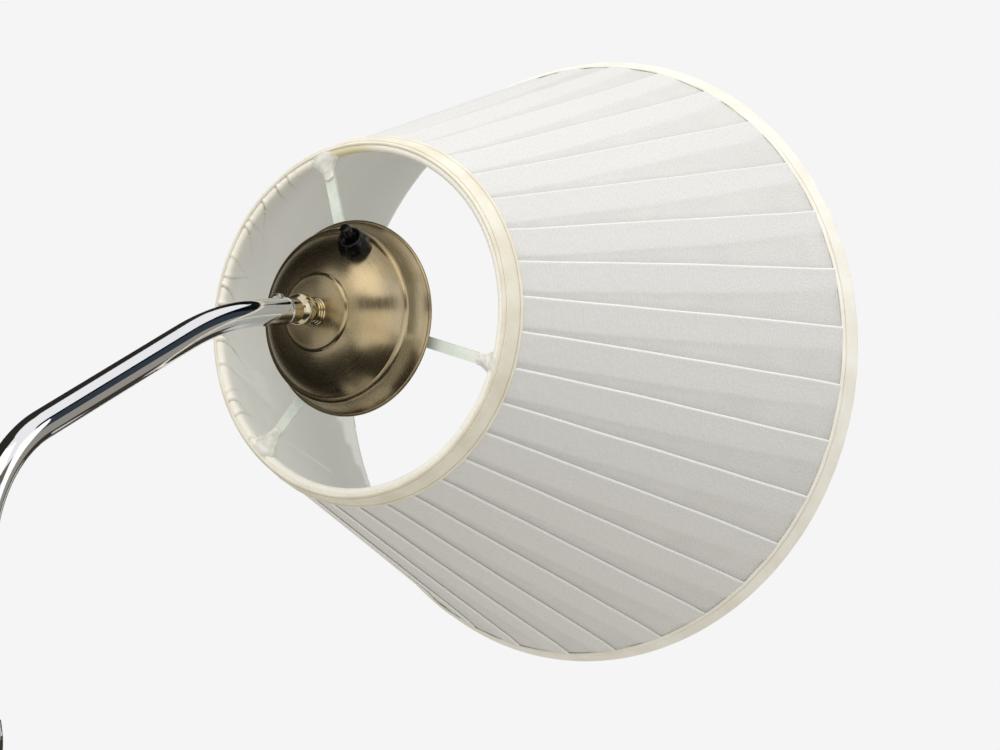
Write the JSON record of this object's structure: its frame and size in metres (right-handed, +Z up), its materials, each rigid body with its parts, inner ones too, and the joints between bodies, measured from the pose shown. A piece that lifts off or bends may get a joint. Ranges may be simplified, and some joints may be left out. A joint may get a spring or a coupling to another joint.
{
  "type": "bridge floor lamp",
  "caption": "Floor lamp with a bent bridge arm, a ball swivel, a spun metal cap with a push switch and a tapered pleated cloth shade.",
  "frame": {"origin": "centre of the base's underside, on the floor", "axes": "+Z up along the pole, +X along the arm towards the shade, +Y to the left of someone who looks along +X"},
  "size_m": [0.6649, 0.356, 1.4027],
  "materials": {
    "felt": "matte felt",
    "iron": "rough, painted black",
    "chrome": "polished",
    "steel": "satin",
    "rubber": "matte",
    "nylon": "matte",
    "nickel_brass": "worn nickel over brass",
    "cap_metal": "brushed warm nickel",
    "black_plastic": "gloss",
    "porcelain": "glazed",
    "contact_brass": "bright",
    "lead_brown": "matte",
    "lead_blue": "matte",
    "enamel": "pale greenish white enamel",
    "wire": "white enamel",
    "cover_cloth": "fine plain weave, knife pleated",
    "lining_cloth": "smooth, semi-sheer",
    "tape": "bias tape",
    "tab_cloth": "folded cloth"
  },
  "bodies": {
    "base": {"base_felt": "felt", "base_weight": "iron", "base_cover": "chrome", "base_nipple": "steel", "base_washer": "steel", "base_nut": "steel", "cord_grommet": "rubber", "pole_foot": "chrome", "pole_plug": "steel", "pole_tube": "chrome", "pole_collar": "chrome"},
    "clamp": {"clamp_knob": "chrome", "clamp_screw": "steel"},
    "guide": {"stem_guide": "nylon"},
    "arm": {"arm_tube": "chrome", "swivel_lock_screw": "steel"},
    "ball": {"swivel_ball": "nickel_brass", "swivel_pin": "steel"},
    "button": {"switch_button": "black_plastic"},
    "head": {"swivel_tongue": "nickel_brass", "neck_washer_small": "nickel_brass", "neck_washer_large": "nickel_brass", "neck_nut": "nickel_brass", "cap": "cap_metal", "switch_body": "black_plastic", "switch_bush": "steel", "switch_sleeve": "black_plastic", "switch_lead_a": "lead_brown", "switch_lead_b": "lead_blue", "holder_cap": "black_plastic", "holder_core": "porcelain", "holder_screws": "contact_brass", "holder_shell": "black_plastic", "contact_sleeve": "contact_brass", "centre_contact": "contact_brass", "shade_ring_nut": "black_plastic", "shade_spider": "enamel", "shade_top_ring": "wire", "shade_low_ring": "wire", "rib_1": "wire", "rib_2": "wire", "rib_3": "wire", "rib_4": "wire", "rib_5": "wire", "rib_6": "wire", "shade_cover": "cover_cloth", "shade_lining": "lining_cloth", "top_binding": "tape", "low_binding": "tape", "arm_tab_1": "tab_cloth", "arm_tab_2": "tab_cloth", "arm_tab_3": "tab_cloth"}
  },
  "joints": [
    {"name": "arm_height", "type": "slide", "parent": "base", "child": "guide", "axis": [0, 0, 1], "range_m": [-0.06, 0.2]},
    {"name": "arm_swivel", "type": "hinge", "parent": "guide", "child": "arm", "pos_m": [0, 0, 0.77293], "axis": [0, 0, 1], "range_deg": [-170, 170]},
    {"name": "clamp_turn", "type": "hinge", "parent": "base", "child": "clamp", "pos_m": [-0.02, 0, 1.057], "axis": [-1, 0, 0], "range_deg": [0, 360]},
    {"name": "head_roll", "type": "hinge", "parent": "arm", "child": "ball", "pos_m": [0.23666, 0, 1.25], "axis": [0.9974, 0, 0.0715], "range_deg": [-170, 170]},
    {"name": "head_tilt", "type": "hinge", "parent": "ball", "child": "head", "pos_m": [0.23666, 0, 1.25], "axis": [0, 1, 0], "range_deg": [-9, 80]},
    {"name": "switch_press", "type": "slide", "parent": "head", "child": "button", "axis": [0.8136, 0.2258, -0.5359], "range_m": [0, 0.0025], "stiffness_N_per_m": 600, "springref_m": -0.003}
  ]
}
